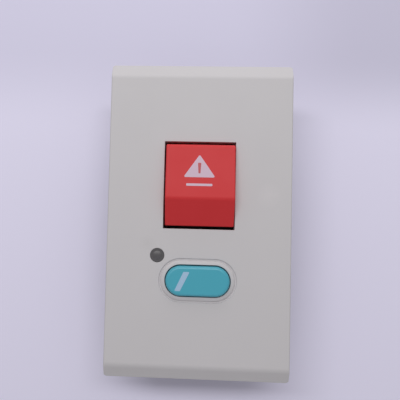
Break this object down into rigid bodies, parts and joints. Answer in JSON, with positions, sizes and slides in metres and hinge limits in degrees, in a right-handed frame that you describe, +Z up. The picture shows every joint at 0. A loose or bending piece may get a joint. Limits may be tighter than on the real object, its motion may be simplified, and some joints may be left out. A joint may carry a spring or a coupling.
{
  "type": "nurse call button",
  "caption": "Wall call station: moulded cover plate with a hinged red push paddle, an oval teal cancel button in a raised collar, a smoked indicator window and a rear housing with terminals.",
  "frame": {"origin": "on the wall plane, half-way between the two wall screws", "axes": "+Z up along the plate's length, +Y into the wall, +X to the right of someone who faces the plate"},
  "size_m": [0.07, 0.0391, 0.12],
  "materials": {
    "ivory_abs": "fine moulded texture, satin",
    "smoked_window": "polished smoked acrylic",
    "red_abs": "satin moulded",
    "teal_abs": "satin moulded",
    "black_abs": "matte moulded",
    "grey_abs": "matte moulded",
    "screw_steel": "zinc plate",
    "spring_steel": "drawn wire",
    "pin_steel": "ground",
    "pad_rubber": "matte",
    "switch_plastic": "satin",
    "plunger_plastic": "satin",
    "board_laminate": "solder mask",
    "lamp_resin": "clear cast resin",
    "spacer_nylon": "natural nylon",
    "chip_resin": "moulded resin with tinned leads",
    "resistor_ceramic": "glazed film",
    "capacitor_can": "sleeved can",
    "terminal_resin": "moulded resin",
    "terminal_brass": "tinned brass"
  },
  "bodies": {
    "wall_unit": {"face_plate": "ivory_abs", "led_window": "smoked_window", "paddle_spring": "spring_steel", "paddle_bumper": "pad_rubber", "cancel_spring": "spring_steel", "call_switch_body": "switch_plastic", "cancel_switch_body": "switch_plastic", "chassis": "black_abs", "circuit_board": "board_laminate", "indicator_led": "lamp_resin", "led_spacer": "spacer_nylon", "control_chip": "chip_resin", "resistors": "resistor_ceramic", "capacitor": "capacitor_can", "terminal_strip": "terminal_resin", "terminal_plates": "terminal_brass", "terminal_screws": "screw_steel", "rear_housing": "grey_abs", "housing_screws": "screw_steel"},
    "call_paddle": {"call_paddle": "red_abs", "paddle_pin": "pin_steel"},
    "call_plunger": {"call_switch_plunger": "plunger_plastic"},
    "cancel_button": {"cancel_button": "teal_abs"},
    "cancel_plunger": {"cancel_switch_plunger": "plunger_plastic"}
  },
  "joints": [
    {"name": "call_press", "type": "hinge", "parent": "wall_unit", "child": "call_paddle", "pos_m": [0, -0.0025, 0.0021], "axis": [-1, 0, 0], "range_deg": [0, 6], "stiffness_Nm_per_rad": 0.2, "springref_deg": -8.59, "deforming": ["paddle_spring"]},
    {"name": "call_plunger_slide", "type": "slide", "parent": "wall_unit", "child": "call_plunger", "axis": [0, 1, 0], "range_m": [0, 0.0012]},
    {"name": "cancel_press", "type": "slide", "parent": "wall_unit", "child": "cancel_button", "axis": [0, 1, 0], "range_m": [0, 0.0015], "stiffness_N_per_m": 600, "springref_m": -0.002, "deforming": ["cancel_spring"]},
    {"name": "cancel_plunger_slide", "type": "slide", "parent": "wall_unit", "child": "cancel_plunger", "axis": [0, 1, 0], "range_m": [0, 0.0015]}
  ],
  "couplings": [
    {"joint": "call_plunger_slide", "follows": "call_press", "m_per_rad": 0.0115},
    {"joint": "cancel_plunger_slide", "follows": "cancel_press", "ratio": 1}
  ]
}
